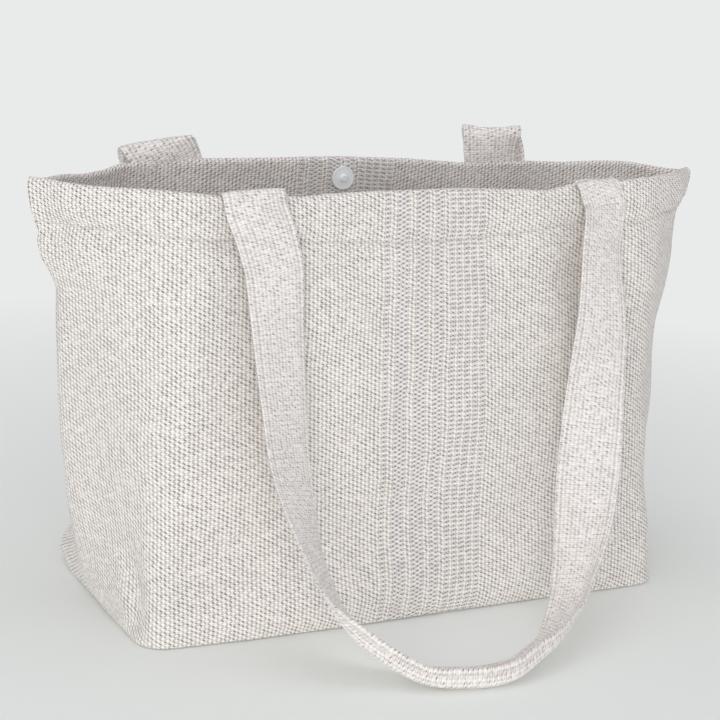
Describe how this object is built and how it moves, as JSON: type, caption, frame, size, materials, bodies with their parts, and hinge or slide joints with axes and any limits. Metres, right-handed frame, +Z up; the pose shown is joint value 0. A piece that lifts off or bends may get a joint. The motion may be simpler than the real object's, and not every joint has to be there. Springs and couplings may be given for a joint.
{
  "type": "tote bag",
  "caption": "Open woven cotton tote bag with a boxed base, turned-in hem, long flat straps and a hidden magnetic snap; walls lean in and straps swing up.",
  "frame": {"origin": "middle of the underside of the base, on the floor that the bag stands on", "axes": "+X to the right along the mouth, +Y from front to rear, +Z up; the front has the socket half of the snap"},
  "size_m": [0.532, 0.46, 0.3298],
  "materials": {
    "woven_cloth": "coarse handwoven cotton in cream and greige, with a broken navy stripe down the middle",
    "strap_cloth": "the same coarse handwoven cotton without the stripe, pressed flat and stitched along both edges",
    "plated_steel": "pale nickel plating with a soft sheen",
    "magnet": "dull dark grey sintered magnet, hidden in the snap"
  },
  "bodies": {
    "bag_base": {"base_panel": "woven_cloth", "left_box_seam": "woven_cloth", "right_box_seam": "woven_cloth", "left_side_front": "woven_cloth", "left_side_rear": "woven_cloth", "right_side_front": "woven_cloth", "right_side_rear": "woven_cloth", "left_side_seam": "woven_cloth", "right_side_seam": "woven_cloth", "left_hem_end": "woven_cloth", "right_hem_end": "woven_cloth"},
    "front_wall": {"front_panel": "woven_cloth", "front_hem": "woven_cloth", "front_strap_ends": "strap_cloth", "socket_cap": "plated_steel", "socket_magnet": "magnet", "socket_prongs": "plated_steel", "front_washer": "plated_steel"},
    "rear_wall": {"rear_panel": "woven_cloth", "rear_hem": "woven_cloth", "rear_strap_ends": "strap_cloth", "stud_plate": "plated_steel", "stud_post": "plated_steel", "stud_prongs": "plated_steel", "rear_washer": "plated_steel"},
    "front_strap_loop": {"front_strap": "strap_cloth", "front_strap_folds": "strap_cloth"},
    "rear_strap_loop": {"rear_strap": "strap_cloth", "rear_strap_folds": "strap_cloth"}
  },
  "joints": [
    {"name": "front_wall_lean", "type": "hinge", "parent": "bag_base", "child": "front_wall", "pos_m": [0, -0.0948, 0.0025], "axis": [-1, 0, 0], "range_deg": [0, 13.6], "deforming": ["left_side_front", "right_side_front", "left_hem_end", "right_hem_end"]},
    {"name": "rear_wall_lean", "type": "hinge", "parent": "bag_base", "child": "rear_wall", "pos_m": [0, 0.0948, 0.0025], "axis": [1, 0, 0], "range_deg": [0, 13.6], "deforming": ["left_side_rear", "right_side_rear"]},
    {"name": "front_strap_swing", "type": "hinge", "parent": "front_wall", "child": "front_strap_loop", "pos_m": [0, -0.0711, 0.3053], "axis": [-1, 0, 0], "range_deg": [0, 140], "deforming": ["front_strap_folds"]},
    {"name": "rear_strap_swing", "type": "hinge", "parent": "rear_wall", "child": "rear_strap_loop", "pos_m": [0, 0.0879, 0.322], "axis": [1, 0, 0], "range_deg": [0, 140], "deforming": ["rear_strap_folds"]}
  ]
}
